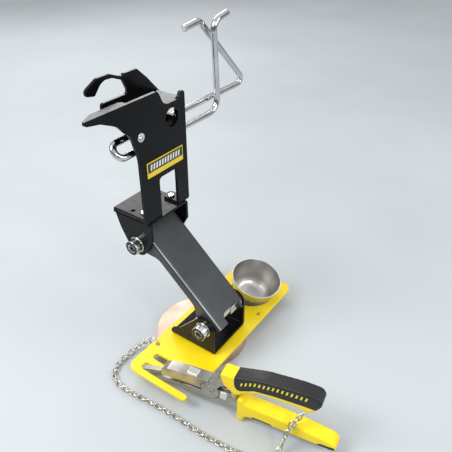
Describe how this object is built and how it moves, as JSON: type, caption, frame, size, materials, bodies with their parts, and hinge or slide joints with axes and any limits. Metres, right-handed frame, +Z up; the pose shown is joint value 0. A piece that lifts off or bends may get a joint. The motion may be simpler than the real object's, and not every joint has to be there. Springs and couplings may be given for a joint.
{
  "type": "magnetic torch stand",
  "caption": "Bench stand for a welding torch: magnetic foot, plate with pliers rack and dip cup, jointed arm, gun cradle, hose hook and tethered pliers.",
  "frame": {"origin": "centre of the magnet's underside, on the surface that the stand stands on", "axes": "+Z up, +X along the base plate to the dip cup, -Y to the pliers' handles; the pivots lie along X"},
  "size_m": [0.265, 0.2774, 0.3242],
  "materials": {
    "yellow_paint": "glossy powder coat",
    "black_paint": "satin powder coat",
    "dark_grey_paint": "satin powder coat",
    "magnet_plating": "satin copper-nickel plating",
    "ferrite": "matt ceramic",
    "zinc": "bright zinc plating",
    "nylon": "natural nylon",
    "chrome_wire": "mirror chrome",
    "stainless": "spun stainless steel",
    "label": "printed laminate, black over yellow",
    "pliers_steel": "satin nickel-chrome plating",
    "grip_yellow": "moulded vinyl",
    "grip_black": "soft matt",
    "chain_nickel": "nickel-plated chain"
  },
  "bodies": {
    "base": {"magnet_shell": "magnet_plating", "magnet_ring": "ferrite", "magnet_bolt": "zinc", "magnet_washer": "zinc", "base_plate": "yellow_paint", "lower_bracket": "black_paint", "bracket_screws": "zinc", "lower_pivot_bolt": "zinc", "lower_pivot_washer": "zinc", "lower_thrust_washers": "nylon", "plate_ring": "zinc", "tether_chain": "chain_nickel"},
    "arm": {"arm_channel": "dark_grey_paint", "lower_pivot_sleeve": "zinc", "lower_weld_nut": "zinc", "upper_pivot_sleeve": "zinc", "upper_weld_nut": "zinc"},
    "head": {"upper_bracket": "black_paint", "upper_pivot_bolt": "zinc", "upper_pivot_washer": "zinc", "upper_thrust_washers": "nylon", "front_cradle": "black_paint", "rear_cradle": "black_paint", "cradle_welds": "black_paint", "front_eyelet": "zinc", "foot_screws": "zinc", "foot_nuts": "zinc", "label_plate": "label", "wire_hook": "chrome_wire", "hook_tabs": "black_paint"},
    "cup": {"dip_cup": "stainless"},
    "pliers_lower": {"pliers_lower_half": "pliers_steel", "pliers_pivot_pin": "pliers_steel", "pliers_hammer_face": "pliers_steel", "pliers_cutter": "pliers_steel", "lower_grip": "grip_yellow", "lower_grip_overlay": "grip_black"},
    "pliers_upper": {"pliers_upper_half": "pliers_steel", "upper_grip": "grip_yellow", "upper_grip_overlay": "grip_black", "pliers_spring": "pliers_steel", "chain_lug": "zinc", "tether_chain_end": "chain_nickel"}
  },
  "joints": [
    {"name": "lower_hinge", "type": "hinge", "parent": "base", "child": "arm", "pos_m": [0, -0.0245, 0.0465], "axis": [1, 0, 0], "range_deg": [-35, 45]},
    {"name": "upper_hinge", "type": "hinge", "parent": "arm", "child": "head", "pos_m": [0, 0.05725, 0.1201], "axis": [1, 0, 0], "range_deg": [-45, 40]},
    {"name": "cup_lift", "type": "slide", "parent": "base", "child": "cup", "axis": [0, 0, 1], "range_m": [0, 0.06]},
    {"name": "pliers_lift", "type": "slide", "parent": "base", "child": "pliers_lower", "axis": [0, 0, 1], "range_m": [0, 0.04]},
    {"name": "pliers_hinge", "type": "hinge", "parent": "pliers_lower", "child": "pliers_upper", "pos_m": [-0.06763, -0.06389, 0.025], "axis": [0.9863, 0.165, 0], "range_deg": [0, 5], "stiffness_Nm_per_rad": 0.8, "springref_deg": -20.05, "deforming": ["pliers_spring", "tether_chain_end"]}
  ]
}
